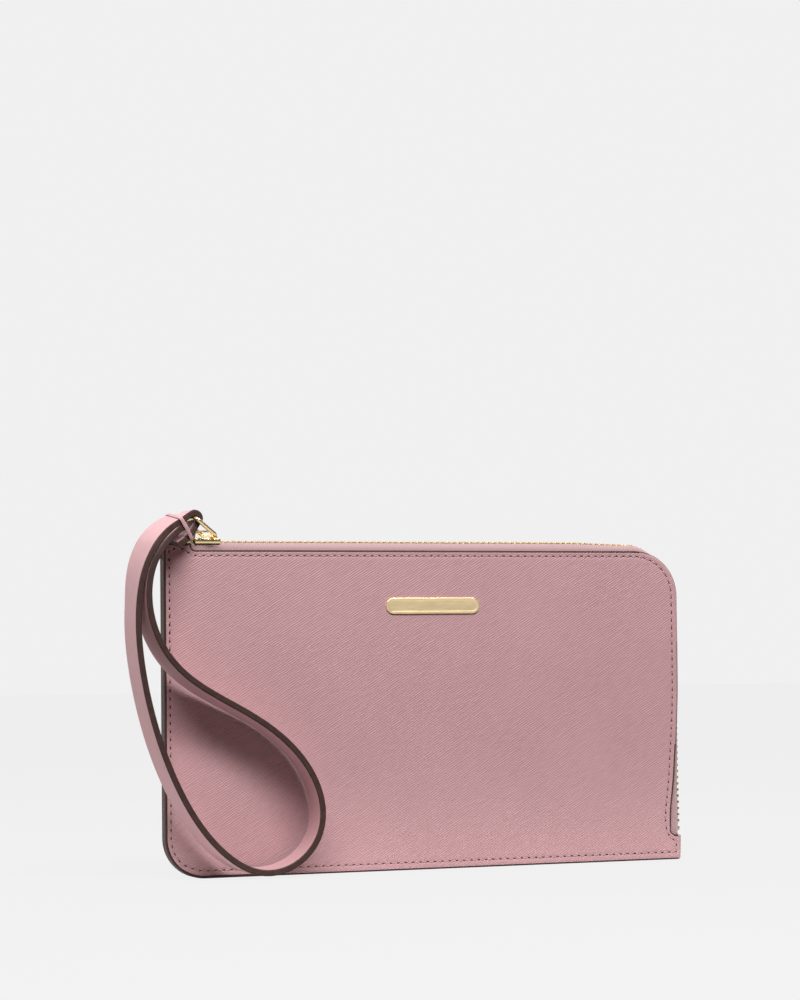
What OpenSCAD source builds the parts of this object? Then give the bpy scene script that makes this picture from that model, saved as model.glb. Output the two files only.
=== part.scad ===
// Wristlet wallet: two leather halves joined by an L-shaped zip, with a leather wrist loop on the slider.
// X runs along the width, Y from the front to the back, Z up. The origin is the middle of the bottom edge.

/* [Wallet] */
// Overall width, to the outside of the zip teeth
wallet_w = 210; // [200:1:225]
// Overall height, to the top of the zip teeth
wallet_h = 124; // [118:1:130]
// Half of the thickness along the sewn left and bottom edges
edge_half = 2.5; // [2.4:0.1:3]
// How far each half bows out towards the zip
bow = 3.3; // [2.8:0.1:3.5]
// Step from the panel's edge out to the tips of the teeth
recess = 3.6; // [3.4:0.1:3.8]
// Radius of the panel's corner inside the zip's corner
zip_corner_r = 17.5; // [15:0.5:20]
// Radius of the bottom left corner
sewn_corner_r = 15; // [10:0.5:18]
// Width of the tab at the top left
top_tab_w = 10; // [8:0.5:10]
// Height of the tab at the bottom right
side_tab_h = 9.5; // [8:0.5:10]

/* [Layers] */
// Thickness of the leather
leather_t = 1.3; // [1.2:0.1:1.4]
// Thickness of the board and of the zip tape beside it
board_t = 0.5; // [0.4:0.1:0.5]
// Thickness of the lining
lining_t = 0.5; // [0.4:0.1:0.5]
// Thickness of one card slot's cloth
slot_t = 0.5; // [0.4:0.1:0.5]
// Width of the sewing thread line
thread_w = 0.6; // [0.4:0.1:0.8]
// Distance of the stitches from the leather's edge
stitch_in = 2.1; // [1.8:0.1:2.5]

/* [Zip] */
// Distance from tooth to tooth along one row
tooth_pitch = 2.4; // [2.4:0.1:3]
// Length of a tooth along the row
tooth_len = 1.2; // [1:0.1:1.3]
// Half the width of the closed chain
chain_half = 2.9; // [2.7:0.1:3]
// Width of tape held under the leather
tape_hold = 12; // [10:0.5:12]
// Length of the slider
slider_len = 8.9; // [8.5:0.1:9.5]
// Half the width of the slider
slider_half = 4; // [3.9:0.1:4.2]
// Place of the slider's left end along X when the zip is closed
slider_x = -92.8; // [-92.8:0.1:-92]

/* [Wrist strap] */
// Width of the strap
strap_w = 12.6; // [12:0.1:12.6]
// Thickness of one of its two leather layers
strap_t = 1.15; // [1:0.05:1.15]
// Radius of the pull ring's wire
wire_r = 0.7; // [0.6:0.05:0.7]
// Distance between the middles of the pull ring's two long sides
ring_w = 14.8; // [14.4:0.1:15]

/* [Nameplate] */
// Length of the plain metal plate
plate_w = 38; // [30:1:40]
// Height of the plate
plate_h = 6; // [5:0.5:8]
// Thickness of the plate
plate_t = 0.6; // [0.5:0.1:0.7]
// Height of the plate's middle above the base
plate_z = 99.5; // [95:0.5:105]

/* [Hidden] */
$fn = 48;
half_w = wallet_w / 2;
panel_top = wallet_h - recess;
panel_right = half_w - recess;
tab_top = wallet_h - 1;
notch_x = top_tab_w - half_w;
fillet_r = 1.6;
inner_corner_r = 10;
corner_x = panel_right - zip_corner_r;
corner_z = panel_top - zip_corner_r;
leather_in = edge_half - leather_t;
board_in = leather_in - board_t;
lining_in = board_in - lining_t;
// Bow of each half: it grows from the bottom up and from the left edge to the right
X_KEYS = [[-half_w - 1, 0], [-90, 0.72], [-60, 1], [half_w + 1, 1]];
Z_KEYS = [[-1, 0], [12, 0.28], [30, 0.55], [60, 0.85], [90, 1], [wallet_h + 1, 1]];
// Height above the panel's edge at which the tape meets the teeth
tape_rise = recess - 1.3;
teeth_gap = 0.45;
chain_start = slider_x + 1.6;
chain_end = side_tab_h + 4.5;
under_slider = slider_x + slider_len + 1;
slider_plate_t = 0.7;
bridge_w = 2.6;
bridge_high = 2.3;
stop_len = 1.1;
prong_x = 12;
prong = [1.5, 0.4];
prong_slot = [1.8, 0.6];
washer = [6, 0.4, 4];
pocket_half_w = 84;
pocket_low = 32;
pocket_high = 84;
slot_w = 87;
slot_low = 34;
slot_high = 94;
slot_step = 12;
board_window = [6.8, 4.8];
ring_pivot = [-86.4, 125.7];
ring_bar = [-94, 132];
ring_corner_r = 1.2;
bar_turn_r = wire_r + 0.15 + strap_t;
keeper_at = [-98.5, 128.6];
keeper_angle = 31;
// Strap's near edge: [x, z, y, x lean and z lean of the far edge]
LOOP = [
    [-97.7, 129.1, -8.3, 0, 0], [-100.4, 127.9, -11.2, 0, 0], [-103.4, 126.2, -13.9, -0.3, 0],
    [-106.8, 123.9, -16.9, -0.6, 0], [-109.8, 121, -19.2, -0.9, 0], [-112.2, 117.6, -19.8, -1, 0],
    [-113.9, 114, -19.8, -1, 0], [-115.3, 108.6, -19.8, -1, 0], [-115.8, 101.5, -19.8, -1, 0],
    [-114.4, 93, -19.8, -1, 0], [-110.3, 82.8, -19.8, -0.8, -0.4], [-103, 74.8, -19.8, -0.4, -1],
    [-94, 68.7, -19.8, 0, -1.2], [-82.2, 62.8, -19.8, 0, -1], [-72.6, 57.5, -19.8, 0, -0.7],
    [-63.2, 50.5, -19.8, 0, -0.3], [-55.7, 42.3, -19.8, 0, 0], [-51.1, 33.8, -19.8, 0, 0],
    [-48.8, 24.8, -19.8, 0, 0], [-49.7, 16.2, -19.8, 0, 0], [-54.4, 8.2, -19.8, 0, 0.3],
    [-62, 3, -19.8, 0, 0.6], [-70.4, 1.3, -19.8, 0, 0.6], [-78.4, 2.6, -19.8, 0, 0.2],
    [-86.3, 8.2, -19.8, 0, -0.7], [-93.3, 14.8, -19.8, -0.2, -1.2], [-99.5, 23.4, -19.8, -0.4, -1.2],
    [-104.9, 33.2, -19.8, -0.7, -0.9], [-109.4, 43.8, -19.8, -0.9, -0.6], [-113.5, 55.2, -19.8, -0.9, -0.3],
    [-116.9, 69, -19.8, -0.8, 0], [-119.1, 82, -19.8, -0.8, 0], [-119.9, 94.8, -19.8, -0.9, 0],
    [-118.9, 105.2, -19.8, -1, 0], [-117.3, 112, -19.8, -1, 0.1], [-115.2, 117.3, -19.8, -1, 0.2],
    [-112.4, 121.6, -19.4, -1, 0.2], [-109.1, 125.1, -16.9, -0.8, 0.2], [-104.8, 128.2, -13, -0.4, 0.1],
    [-99.8, 130.8, -9, 0, 0]
];
TURN = [for (a = [121:-30:-59])
    [ring_bar[0] + bar_turn_r * cos(a), ring_bar[1] + bar_turn_r * sin(a), -strap_w / 2, 0, 0]];
TAIL = [[-95, 128.2, -7.2, 0, 0], [-97.3, 126.6, -8.9, 0, 0], [-98.5, 125.8, -9.8, 0, 0]];
ROUTE = concat(LOOP, TURN, TAIL);

LEATHER = [0.70, 0.50, 0.53];
THREAD = [0.62, 0.42, 0.46];
TAPE = [0.74, 0.56, 0.58];
GOLD = [0.88, 0.72, 0.42];
LINING = [0.80, 0.72, 0.66];
BOARD = [0.72, 0.66, 0.56];
STRAP_EDGE = [0.58, 0.40, 0.43];

// Bow of one half at a point of the wallet's face
function bow_at(x, z) = bow * lookup(x, X_KEYS) * lookup(z, Z_KEYS);

// One curved sheet of the front half, between two distances from the middle plane
module sheet(near, far) {
    nx = len(X_KEYS);
    nz = len(Z_KEYS);
    points = [for (side = [far, near]) for (xk = X_KEYS) for (zk = Z_KEYS)
        [xk[0], -(side + bow_at(xk[0], zk[0])), zk[0]]];
    at = function (s, i, j) s * nx * nz + i * nz + j;
    skin = [for (i = [0:nx - 2]) for (j = [0:nz - 2]) each [
        [at(0, i, j), at(0, i, j + 1), at(0, i + 1, j)],
        [at(0, i, j + 1), at(0, i + 1, j + 1), at(0, i + 1, j)],
        [at(1, i, j), at(1, i + 1, j), at(1, i, j + 1)],
        [at(1, i, j + 1), at(1, i + 1, j), at(1, i + 1, j + 1)]
    ]];
    low = [for (i = [0:nx - 1]) at(0, i, 0)];
    low_back = [for (i = [nx - 1:-1:0]) at(1, i, 0)];
    high = [for (i = [nx - 1:-1:0]) at(0, i, nz - 1)];
    high_back = [for (i = [0:nx - 1]) at(1, i, nz - 1)];
    left = [for (j = [nz - 1:-1:0]) at(0, 0, j)];
    left_back = [for (j = [0:nz - 1]) at(1, 0, j)];
    right = [for (j = [0:nz - 1]) at(0, nx - 1, j)];
    right_back = [for (j = [nz - 1:-1:0]) at(1, nx - 1, j)];
    rims = [for (pair = [[low, low_back], [high, high_back], [left, left_back], [right, right_back]])
        for (k = [0:len(pair[0]) - 2]) let (last = len(pair[0]) - 1)
            [pair[0][k], pair[0][k + 1], pair[1][last - k - 1], pair[1][last - k]]];
    polyhedron(points = points, faces = concat(skin, rims), convexity = 4);
}

// Extrudes an outline drawn in X and Z through the whole thickness
module through() {
    translate([0, 20, 0])
        rotate([90, 0, 0])
            linear_extrude(height = 40)
                children();
}

// Square corner to be cut away so that a round one of radius r is left; it points to +x and +y
module corner_waste(r) {
    difference() {
        square([r + 1, r + 1]);
        circle(r = r);
    }
}

// Fillet that fills an inside corner at the origin, towards +x and +y
module inside_fillet(r) {
    difference() {
        translate([-0.5, -0.5])
            square([r + 0.5, r + 0.5]);
        translate([r, r])
            circle(r = r);
    }
}

// Outline of a leather panel, pulled in all round by a margin
module panel_outline(margin = 0) {
    difference() {
        union() {
            translate([-half_w + margin, margin])
                square([panel_right + half_w - 2 * margin, panel_top - 2 * margin]);
            translate([-half_w + margin, margin])
                square([top_tab_w - 2 * margin, tab_top - 2 * margin]);
            translate([0, margin])
                square([half_w - margin, side_tab_h - 2 * margin]);
            translate([notch_x - margin, panel_top - margin])
                inside_fillet(fillet_r);
            translate([panel_right - margin, side_tab_h - margin])
                inside_fillet(fillet_r);
        }
        translate([corner_x, corner_z])
            corner_waste(zip_corner_r - margin);
        translate([sewn_corner_r - half_w, sewn_corner_r])
            rotate([0, 0, 180])
                corner_waste(sewn_corner_r - margin);
    }
}

// Outline of the sheets inside: flush with the leather at the sewn edges, and short of it at the zip
module inner_outline(right, high) {
    difference() {
        translate([-half_w, 0])
            square([right + half_w, high]);
        translate([right - inner_corner_r, high - inner_corner_r])
            corner_waste(inner_corner_r);
        translate([sewn_corner_r - half_w, sewn_corner_r])
            rotate([0, 0, 180])
                corner_waste(sewn_corner_r);
    }
}

module leather_panel() {
    intersection() {
        sheet(leather_in, edge_half);
        through() panel_outline();
    }
}

// Two openings through the front layers, one for each prong of the nameplate
module window(size) {
    for (side = [-1, 1])
        translate([side * prong_x - size[0] / 2, -10, plate_z - size[1] / 2])
            cube([size[0], 8, size[1]]);
}

module front_panel() {
    color(LEATHER)
        difference() {
            leather_panel();
            window(prong_slot);
        }
}

module back_panel() {
    color(LEATHER)
        mirror([0, 1, 0])
            leather_panel();
}

// Stiff board behind the leather, short of the zip tape on two sides
module board() {
    intersection() {
        sheet(board_in, leather_in);
        through()
            inner_outline(panel_right - tape_hold - 0.5, panel_top - tape_hold - 0.5);
    }
}

module front_board() {
    color(BOARD)
        difference() {
            board();
            window(board_window);
        }
}

module back_board() {
    color(BOARD)
        mirror([0, 1, 0])
            board();
}

module lining() {
    intersection() {
        sheet(lining_in, board_in);
        through()
            inner_outline(panel_right - 3, panel_top - 3);
    }
}

module front_lining() {
    color(LINING)
        lining();
}

module back_lining() {
    color(LINING)
        mirror([0, 1, 0])
            lining();
}

// Rectangular cloth leaf on the inside of the front half, a number of leaves deep
module leaf(level, left, right, low, high) {
    intersection() {
        sheet(lining_in - (level + 1) * slot_t, lining_in - level * slot_t);
        through()
            translate([left, low])
                square([right - left, high - low]);
    }
}

module slip_pocket() {
    color(LINING)
        leaf(0, -pocket_half_w, pocket_half_w, pocket_low, pocket_high);
}

// Card slots: two columns of three leaves, each tier lower and one leaf nearer than the last
module card_slot(column, tier) {
    left = column == 0 ? -slot_w - 1 : 1;
    color(LINING)
        mirror([0, 1, 0])
            leaf(tier, left, left + slot_w, slot_low, slot_high - slot_step * tier);
}

// Sewing thread: a low line on the leather that follows its outline
module stitching() {
    intersection() {
        sheet(edge_half - 0.1, edge_half + 0.15);
        through()
            difference() {
                panel_outline(stitch_in - thread_w / 2);
                panel_outline(stitch_in + thread_w / 2);
            }
    }
}

module front_stitching() {
    color(THREAD)
        stitching();
}

module back_stitching() {
    color(THREAD)
        mirror([0, 1, 0])
            stitching();
}

// Plain plate with round ends and two prongs that go through the leather
module nameplate() {
    face_y = -(edge_half + bow);
    color(GOLD) {
        translate([0, face_y, plate_z])
            rotate([90, 0, 0])
                linear_extrude(height = plate_t) {
                    square([plate_w - plate_h, plate_h], center = true);
                    for (side = [-1, 1])
                        translate([side * (plate_w - plate_h) / 2, 0])
                            circle(d = plate_h);
                }
        for (side = [-1, 1])
            translate([side * prong_x - prong[0] / 2, face_y - 0.1, plate_z - prong[1] / 2])
                cube([prong[0], leather_t + 0.25, prong[1]]);
    }
}

// Small slotted washers behind the leather, which the prongs are folded over
module nameplate_washers() {
    color(GOLD)
        for (side = [-1, 1])
            translate([side * prong_x, -(leather_in + bow - 0.02), plate_z])
                difference() {
                    translate([-washer[0] / 2, 0, -washer[2] / 2])
                        cube(washer);
                    translate([-prong_slot[0] / 2, -1, -prong_slot[1] / 2])
                        cube([prong_slot[0], 2, prong_slot[1]]);
                }
}

// Path along the panel's zip edge, from the top left round the corner to the lower right:
// each entry is [x, z, angle of the outward direction]
function zip_path(start_x, end_z) = concat(
    [for (x = [start_x, -90, -60]) [x, panel_top, 90]],
    [for (a = [90:-10:0]) [corner_x + zip_corner_r * cos(a), corner_z + zip_corner_r * sin(a), a]],
    [for (z = [90, 60, 30, 12]) [panel_right, z, 0]],
    end_z < 12 ? [[panel_right, end_z, 0]] : []
);

// Cross-section of the tape: [outward from the panel's edge, distance from the middle plane]
function tape_section(b) = [
    [-tape_hold, leather_in + b], [0.2, leather_in + b], [tape_rise, 2.3], [tape_rise, teeth_gap],
    [tape_rise - 0.6, teeth_gap], [tape_rise - 0.6, 1.7], [-0.2, board_in + b], [-tape_hold, board_in + b]
];

module zip_tape() {
    path = zip_path(notch_x + 0.4, 11);
    n = 8;
    points = [for (s = path) for (q = tape_section(bow_at(s[0], s[1])))
        [s[0] + q[0] * cos(s[2]), -q[1], s[1] + q[0] * sin(s[2])]];
    sides = [for (i = [0:len(path) - 2]) for (k = [0:n - 1]) each [
        [i * n + k, i * n + (k + 1) % n, (i + 1) * n + (k + 1) % n],
        [i * n + k, (i + 1) * n + (k + 1) % n, (i + 1) * n + k]
    ]];
    first = [for (k = [n - 1:-1:0]) k];
    last = [for (k = [0:n - 1]) (len(path) - 1) * n + k];
    polyhedron(points = points, faces = concat(sides, [first, last]), convexity = 6);
}

module zip_tape_front() {
    color(TAPE)
        zip_tape();
}

module zip_tape_back() {
    color(TAPE)
        mirror([0, 1, 0])
            zip_tape();
}

// One tooth, standing outward from the tape's edge in the front row
module tooth() {
    translate([-tooth_len / 2, -chain_half, 0])
        cube([tooth_len, chain_half - teeth_gap, recess - tape_rise]);
}

// The front row of teeth; shift moves the row along by a part of the pitch
module tooth_row(shift, from_x) {
    top_len = corner_x - chain_start;
    for (s = [shift:tooth_pitch:top_len])
        if (chain_start + s >= from_x)
            translate([chain_start + s, 0, panel_top + tape_rise])
                tooth();
    corner_teeth = floor((zip_corner_r + tape_rise) * PI / 2 / tooth_pitch) - 1;
    for (k = [0:corner_teeth])
        let (a = 90 - (k + 0.5 + shift / tooth_pitch) * 90 / (corner_teeth + 1.5))
            translate([corner_x, 0, corner_z])
                rotate([0, 90 - a, 0])
                    translate([0, 0, zip_corner_r + tape_rise])
                        tooth();
    for (s = [shift + tooth_pitch / 2:tooth_pitch:corner_z - chain_end])
        translate([panel_right + tape_rise, 0, corner_z - s])
            rotate([0, 90, 0])
                tooth();
}

module zip_teeth_front() {
    color(GOLD)
        tooth_row(0.2, -half_w);
}

module zip_teeth_back() {
    color(GOLD)
        mirror([0, 1, 0])
            tooth_row(0.2 + tooth_pitch / 2, under_slider);
}

// The back row's teeth that stay in the parked slider
module zip_end_teeth() {
    color(GOLD)
        mirror([0, 1, 0])
            for (s = [0.2 + tooth_pitch / 2:tooth_pitch:under_slider - chain_start])
                if (chain_start + s < under_slider)
                    translate([chain_start + s, 0, panel_top + tape_rise])
                        tooth();
}

module top_stop() {
    translate([notch_x + 0.5, -2.4, panel_top + tape_rise])
        cube([stop_len, 2.4 - teeth_gap, stop_len]);
}

module zip_top_stop_front() {
    color(GOLD)
        top_stop();
}

module zip_top_stop_back() {
    color(GOLD)
        mirror([0, 1, 0])
            top_stop();
}

// Bar across the front tape at the open end of the chain
module zip_bottom_stop() {
    color(GOLD)
        translate([panel_right + tape_rise, -2.3, side_tab_h + 1.8])
            cube([stop_len, 2.6, 1.6]);
}

// Slider: two plates joined by a thin divider, side flanges and a bridge for the ring
module slider_body() {
    top_z = wallet_h + 0.2;
    bridge_z = top_z + slider_plate_t;
    flange_low = wallet_h - 1.1;
    lower_z = panel_top + 0.2;
    color(GOLD) {
        translate([slider_x, -slider_half, top_z])
            cube([slider_len, 2 * slider_half, slider_plate_t]);
        for (side = [0, 1])
            mirror([0, side, 0])
                translate([slider_x, -slider_half, flange_low])
                    cube([slider_len, slider_plate_t, bridge_z - flange_low]);
        translate([slider_x, -1.5, lower_z])
            cube([slider_len, 3, 1]);
        translate([slider_x, -0.25, lower_z])
            cube([1.4, 0.5, bridge_z - lower_z]);
        for (x = [slider_x + 0.5, slider_x + slider_len - 1.5])
            translate([x, -bridge_w / 2, bridge_z - 0.1])
                cube([0.9, bridge_w, bridge_high + 0.1]);
        translate([slider_x + 0.5, -bridge_w / 2, bridge_z + bridge_high - slider_plate_t])
            cube([slider_len - 1.1, bridge_w, slider_plate_t]);
    }
}

// Rectangular wire ring, tilted up to the left from the slider's bridge
module pull_ring() {
    run = ring_bar - ring_pivot;
    span = norm(run);
    tilt = atan2(run[1], -run[0]);
    straight_y = ring_w - 2 * ring_corner_r;
    straight_x = span - 2 * ring_corner_r;
    color(GOLD)
        translate([ring_pivot[0], 0, ring_pivot[1]])
            rotate([0, tilt, 0])
                translate([-span / 2, 0, 0]) {
                    for (side = [-1, 1]) {
                        translate([side * span / 2, 0, 0])
                            rotate([90, 0, 0])
                                cylinder(r = wire_r, h = straight_y, center = true);
                        translate([0, side * ring_w / 2, 0])
                            rotate([0, 90, 0])
                                cylinder(r = wire_r, h = straight_x, center = true);
                    }
                    for (turn = [0:3])
                        let (sx = turn == 0 || turn == 3 ? 1 : -1, sy = turn < 2 ? 1 : -1)
                            translate([sx * straight_x / 2, sy * straight_y / 2, 0])
                                rotate([0, 0, turn * 90])
                                    rotate_extrude(angle = 90)
                                        translate([ring_corner_r, 0])
                                            circle(r = wire_r);
                }
}

// Smooth curve through the points of a route, with a number of steps in each span
function curve_point(p, i, t) =
    let (a = p[max(i - 1, 0)], b = p[i], c = p[i + 1], d = p[min(i + 2, len(p) - 1)])
        let (once = c - a, twice = 2 * a - 5 * b + 4 * c - d, thrice = 3 * b - a - 3 * c + d)
            b + (once * t + twice * t * t + thrice * t * t * t) / 2;
function curve(p, steps) = concat(
    [for (i = [0:len(p) - 2]) for (k = [0:steps - 1]) curve_point(p, i, k / steps)], [p[len(p) - 1]]);

// Outward direction of the loop at each point of a route, square to its run
function side_of(p, i) =
    let (a = p[max(i - 1, 0)], b = p[min(i + 1, len(p) - 1)], d = [b[0] - a[0], b[1] - a[1]])
        [-d[1], d[0]] / norm(d);

// One leather layer of the strap between two offsets from its middle
module strap_layer(inner, outer) {
    run = curve(ROUTE, 2);
    n = 4;
    points = [for (i = [0:len(run) - 1])
        let (r = run[i], out = side_of(run, i), near = [r[0], r[1]], far = near + [r[3], r[4]])
            for (q = [[near, outer, 0], [near, inner, 0], [far, inner, strap_w], [far, outer, strap_w]])
                let (at = q[0] + q[1] * out)
                    [at[0], r[2] + q[2], at[1]]];
    // the two layers split their shared face along the same diagonals
    sides = [for (i = [0:len(run) - 2]) for (k = [0:n - 1])
        let (a = i * n + k, b = i * n + (k + 1) % n, c = a + n, d = b + n)
            each k == 3 ? [[a, c, b], [c, d, b]] : [[a, d, b], [a, c, d]]];
    first = [for (k = [0:n - 1]) k];
    last = [for (k = [n - 1:-1:0]) (len(run) - 1) * n + k];
    polyhedron(points = points, faces = concat(sides, [first, last]), convexity = 8);
}

module strap_outer_layer() {
    color(LEATHER)
        strap_layer(0, strap_t);
}

module strap_inner_layer() {
    color(STRAP_EDGE)
        strap_layer(-strap_t, 0);
}

// Narrow band round the three layers of strap beside the ring
module strap_keeper() {
    band_w = 2;
    band_t = 0.6;
    hole = [16.2 - 2 * band_t, 7.8];
    color(LEATHER)
        translate([keeper_at[0], -2.6, keeper_at[1]])
            rotate([0, -keeper_angle, 0])
                difference() {
                    cube([band_w, hole[0] + 2 * band_t, hole[1] + 2 * band_t], center = true);
                    cube([band_w + 1, hole[0], hole[1]], center = true);
                }
}

front_panel();
front_board();
front_lining();
slip_pocket();
front_stitching();
nameplate();
nameplate_washers();
back_panel();
back_board();
back_lining();
card_slot(0, 0);  // card_slot_1
card_slot(0, 1);  // card_slot_2
card_slot(0, 2);  // card_slot_3
card_slot(1, 0);  // card_slot_4
card_slot(1, 1);  // card_slot_5
card_slot(1, 2);  // card_slot_6
back_stitching();
zip_tape_front();
zip_tape_back();
zip_teeth_front();
zip_teeth_back();
zip_end_teeth();
zip_top_stop_front();
zip_top_stop_back();
zip_bottom_stop();
slider_body();
pull_ring();
strap_outer_layer();
strap_inner_layer();
strap_keeper();
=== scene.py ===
import math

import bmesh
import bpy
import numpy as np
from mathutils import Matrix, Vector
from mathutils.geometry import delaunay_2d_cdt


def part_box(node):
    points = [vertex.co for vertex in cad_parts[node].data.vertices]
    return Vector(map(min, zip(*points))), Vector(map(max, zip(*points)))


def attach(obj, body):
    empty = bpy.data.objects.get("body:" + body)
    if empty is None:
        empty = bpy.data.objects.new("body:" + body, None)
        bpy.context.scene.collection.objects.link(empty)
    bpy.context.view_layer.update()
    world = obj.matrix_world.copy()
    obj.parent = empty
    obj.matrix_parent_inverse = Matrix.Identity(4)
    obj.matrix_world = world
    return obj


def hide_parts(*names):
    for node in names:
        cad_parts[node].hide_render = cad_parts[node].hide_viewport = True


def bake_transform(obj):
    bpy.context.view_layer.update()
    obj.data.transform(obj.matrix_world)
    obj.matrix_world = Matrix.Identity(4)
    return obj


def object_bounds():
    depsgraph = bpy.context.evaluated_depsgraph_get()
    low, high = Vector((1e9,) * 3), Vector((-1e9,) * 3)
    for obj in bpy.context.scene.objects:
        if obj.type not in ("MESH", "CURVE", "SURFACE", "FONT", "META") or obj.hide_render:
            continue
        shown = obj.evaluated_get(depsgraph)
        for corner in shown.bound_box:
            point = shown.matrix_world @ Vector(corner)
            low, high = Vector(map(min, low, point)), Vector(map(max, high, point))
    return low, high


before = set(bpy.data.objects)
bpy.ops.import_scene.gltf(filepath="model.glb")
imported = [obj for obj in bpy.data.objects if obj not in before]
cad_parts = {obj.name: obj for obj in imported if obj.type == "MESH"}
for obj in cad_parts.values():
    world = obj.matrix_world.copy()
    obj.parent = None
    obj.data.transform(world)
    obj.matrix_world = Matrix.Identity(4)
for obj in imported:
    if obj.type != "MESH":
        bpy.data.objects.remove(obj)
cad_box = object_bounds()

# ---------------------------------------------------------------- sizes, in millimetres
MM = 0.001


def box_mm(node):
    """The low and high corner of a CAD node's box."""
    low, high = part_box(node)
    return low / MM, high / MM


HALF_W = box_mm("front_panel")[1].x
TAB_TOP = box_mm("front_panel")[1].z
CHAIN_TOP = box_mm("zip_teeth_front")[1].z
PLATE_LOW, PLATE_HIGH = box_mm("nameplate")
SLIDER_LOW, SLIDER_HIGH = box_mm("slider_body")
# the zip edges lie this far inside the tabs
RECESS = 3.6
PANEL_TOP = CHAIN_TOP - RECESS
PANEL_RIGHT = HALF_W - RECESS
ZIP_R, SEWN_R, NOTCH_R = 17.5, 15.0, 1.6
TOP_TAB_W, SIDE_TAB_H = 10.0, 9.5
NOTCH_X = TOP_TAB_W - HALF_W
CORNER_X, CORNER_Z = PANEL_RIGHT - ZIP_R, PANEL_TOP - ZIP_R
LEATHER, BOARD, LINING, LEAF = 1.3, 0.5, 0.5, 0.5
EDGE_HALF, BOW = 2.5, 3.3
LEATHER_IN = EDGE_HALF - LEATHER
BOARD_IN = LEATHER_IN - BOARD
LINING_IN = BOARD_IN - LINING
STITCH_IN, STITCH_PITCH = 2.1, 3.0
PITCH, CHAIN_START = 2.4, -91.2
STRAP_W, STRAP_T = 12.6, 1.15
SIDE_SWELL, SIDE_DRAW = 2.2, 0.8
SEAM_RISE, SEAM_INWARD = 0.8, 0.45
THREAD_R, THREAD_PROUD, THREAD_SUNK = 0.29, 0.12, 0.16
HOLE_ALONG, HOLE_UP = 0.64, 0.6
# the panels' bow: shares of BOW along X and along Z
X_KEYS = [(-106, 0), (-90, 0.72), (-60, 1), (106, 1)]
Z_KEYS = [(-1, 0), (12, 0.28), (30, 0.55), (60, 0.85), (90, 1), (125, 1)]


def smooth_keys(keys):
    """Monotone smooth curve through keys."""
    xs = np.array([k[0] for k in keys], float)
    ys = np.array([k[1] for k in keys], float)
    rise = np.diff(ys) / np.diff(xs)
    slope = np.concatenate([[rise[0]], np.zeros(len(xs) - 2), [rise[-1]]])
    for i in range(1, len(xs) - 1):
        if rise[i - 1] * rise[i] > 0:
            slope[i] = 2 * rise[i - 1] * rise[i] / (rise[i - 1] + rise[i])

    def value(x):
        x = np.clip(np.asarray(x, float), xs[0], xs[-1])
        i = np.clip(np.searchsorted(xs, x, side="right") - 1, 0, len(xs) - 2)
        w = xs[i + 1] - xs[i]
        t = (x - xs[i]) / w
        return ((2 * t**3 - 3 * t**2 + 1) * ys[i] + (t**3 - 2 * t**2 + t) * w * slope[i]
                + (3 * t**2 - 2 * t**3) * ys[i + 1] + (t**3 - t**2) * w * slope[i + 1])

    return value


bow_x, bow_z = smooth_keys(X_KEYS), smooth_keys(Z_KEYS)


def bow_at(x, z):
    """How far a panel bows out from its sewn edges."""
    return BOW * bow_x(x) * bow_z(z)


def smooth01(t):
    """Eased step from 0 to 1."""
    t = min(1.0, max(0.0, t))
    return t * t * (3 - 2 * t)


# ---------------------------------------------------------------- materials
def add(tree, kind, **inputs):
    made = tree.nodes.new(kind)
    for key, value in inputs.items():
        made.inputs[key.replace("_", " ")].default_value = value
    return made


def math_node(tree, operation, a, b):
    """The result of two numbers or sockets."""
    made = tree.nodes.new("ShaderNodeMath")
    made.operation = operation
    for k, value in enumerate((a, b)):
        if isinstance(value, bpy.types.NodeSocket):
            tree.links.new(value, made.inputs[k])
        else:
            made.inputs[k].default_value = value
    return made.outputs[0]


def weighed(tree, *terms):
    """The sum of sockets, each times its weight."""
    products = [math_node(tree, "MULTIPLY", socket, weight) for socket, weight in terms]
    total = products[0]
    for product in products[1:]:
        total = math_node(tree, "ADD", total, product)
    return total


def shade(tree, shader, factor, colour, *stops):
    """Base colour that follows a factor; each stop is (factor, share of the colour)."""
    made = tree.nodes.new("ShaderNodeValToRGB")
    marks = made.color_ramp.elements
    for mark, (position, share) in zip(marks, (stops[0], stops[-1])):
        mark.position, mark.color = position, (*(c * share for c in colour), 1)
    for position, share in stops[1:-1]:
        marks.new(position).color = (*(c * share for c in colour), 1)
    tree.links.new(factor, made.inputs["Fac"])
    tree.links.new(made.outputs["Color"], shader.inputs["Base Color"])


def between(tree, factor, low, high):
    """A number that runs from low to high with a factor."""
    made = add(tree, "ShaderNodeMapRange", To_Min=low, To_Max=high)
    tree.links.new(factor, made.inputs["Value"])
    return made.outputs["Result"]


def material(name, **inputs):
    mat = bpy.data.materials.new(name)
    mat.use_nodes = True
    tree = mat.node_tree
    shader = tree.nodes["Principled BSDF"]
    for key, value in inputs.items():
        shader.inputs[key.replace("_", " ")].default_value = value
    return mat, tree, shader


def grain_coordinates(tree, angle=0.0, scale=(1, 1, 1)):
    source = tree.nodes.new("ShaderNodeAttribute")
    source.attribute_name = "grain"
    turned = add(tree, "ShaderNodeMapping", Rotation=(0, 0, math.radians(angle)))
    tree.links.new(source.outputs["Vector"], turned.inputs["Vector"])
    sized = add(tree, "ShaderNodeMapping", Scale=scale)
    tree.links.new(turned.outputs["Vector"], sized.inputs["Vector"])
    return sized.outputs["Vector"]


def texture(tree, kind, vector, output, **inputs):
    made = add(tree, kind, **inputs)
    tree.links.new(vector, made.inputs["Vector"])
    return made, made.outputs[output]


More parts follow.
